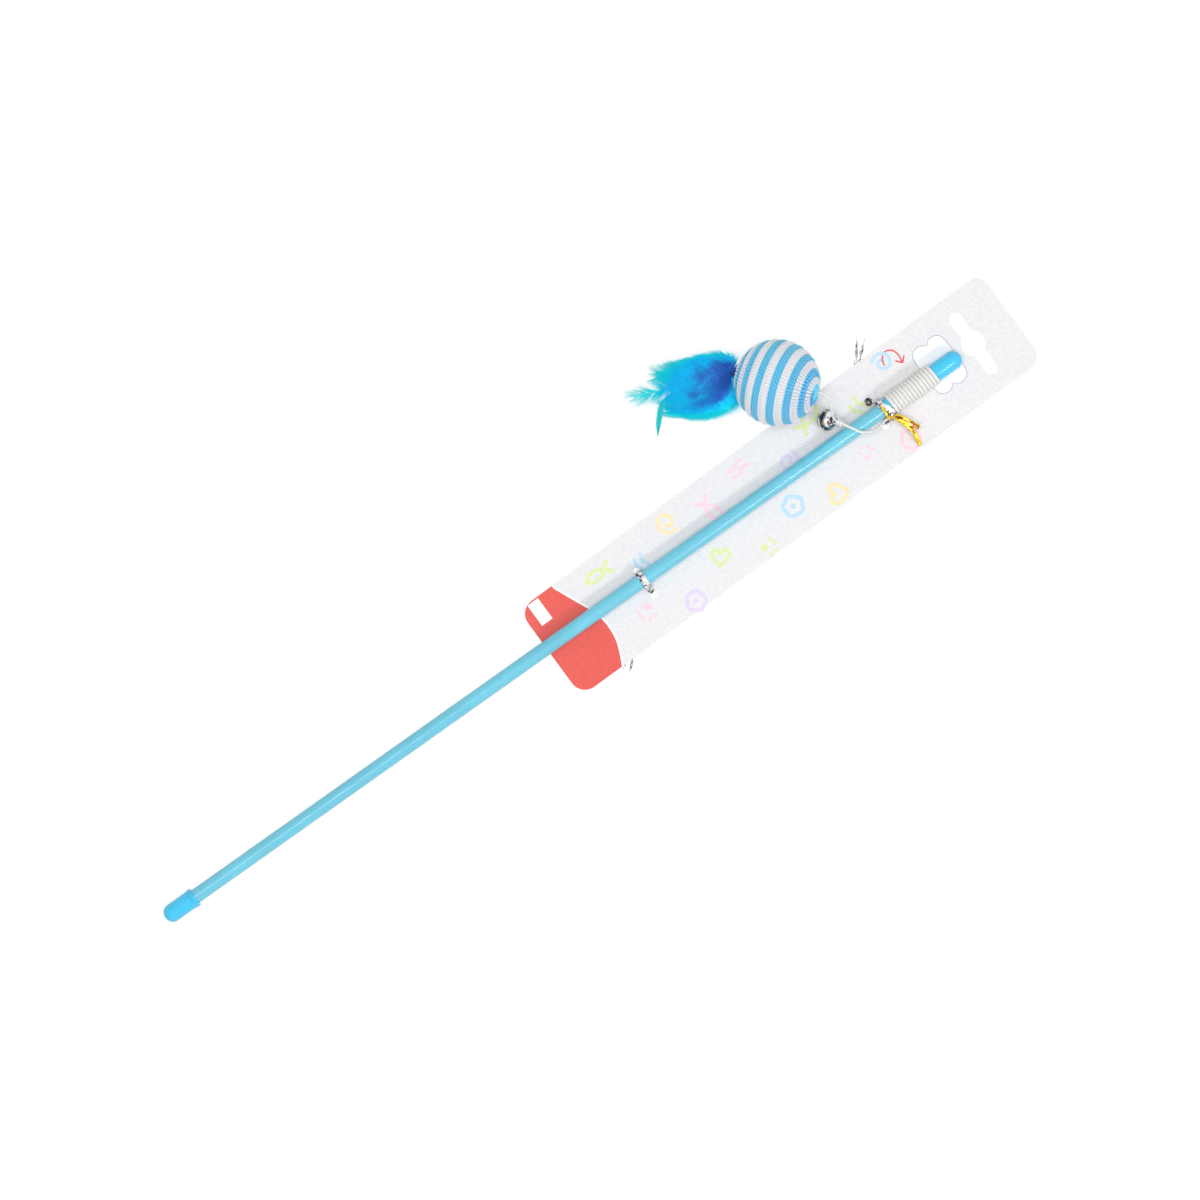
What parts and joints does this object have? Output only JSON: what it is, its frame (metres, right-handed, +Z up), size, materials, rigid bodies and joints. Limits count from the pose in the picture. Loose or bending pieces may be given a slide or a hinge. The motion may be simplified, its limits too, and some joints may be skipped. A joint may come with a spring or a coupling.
{
  "type": "cat teaser wand",
  "caption": "Hollow rod with soft end caps, wound elastic cord, round bell and wrapped ball with feathers, tied to a slotted hanging card.",
  "frame": {"origin": "on the wand's axis, halfway along the plain cylinder of the grip cap", "axes": "+X along the wand from its grip end to its tip, +Z up out of the card's front, +Y towards the ball"},
  "size_m": [0.4816, 0.1053, 0.04],
  "materials": {
    "rod": "satin",
    "cap": "satin",
    "cord": "matte",
    "core": "matte",
    "strand_blue": "matte",
    "strand_white": "matte",
    "binding": "matte",
    "feather": "matte",
    "hackle": "satin",
    "bell": "polished",
    "pea": "satin",
    "gold_foil": "polished",
    "silver_foil": "polished",
    "board": "matte"
  },
  "bodies": {
    "wand": {"wand_tube": "rod", "grip_cap": "cap", "tip_cap": "cap", "cord_winding": "cord", "cord_lead_tie_side": "cord", "gold_tie": "gold_foil", "silver_tie_tip": "silver_foil", "silver_tie_middle": "silver_foil", "backing_card": "board"},
    "lure_cord": {"cord_lead_ball_side": "cord", "bell_knot": "cord"},
    "bell": {"bell_upper_shell": "bell", "bell_lower_shell": "bell", "bell_loop": "bell", "bell_pea": "pea"},
    "cord_end": {"cord_anchor": "cord"},
    "ball": {"ball_core": "core", "ball_wrap_blue": "strand_blue", "ball_wrap_white": "strand_white", "quill_binding": "binding", "plume_long": "feather", "plume_left": "feather", "plume_right": "feather", "hackle": "hackle"}
  },
  "joints": [
    {"name": "lure_swing", "type": "hinge", "parent": "wand", "child": "lure_cord", "pos_m": [0.38165, 0, 0.0048], "axis": [1, 0, 0], "range_deg": [0, 140], "deforming": ["cord_lead_tie_side"]},
    {"name": "ball_nod", "type": "hinge", "parent": "lure_cord", "child": "cord_end", "pos_m": [0.37654, 0.02371, 0.01832], "axis": [0.765, 0.644, 0], "range_deg": [0, 35], "deforming": ["cord_anchor"]},
    {"name": "ball_spin", "type": "hinge", "parent": "cord_end", "child": "ball", "pos_m": [0.36435, 0.0383, 0.01212], "axis": [-0.6097, 0.7296, -0.3098], "range_deg": [0, 90]},
    {"name": "bell_swing", "type": "hinge", "parent": "lure_cord", "child": "bell", "pos_m": [0.37675, 0.0086, 0.00434], "axis": [-0.2145, 0.8206, 0.5297], "range_deg": [0, 60]}
  ]
}
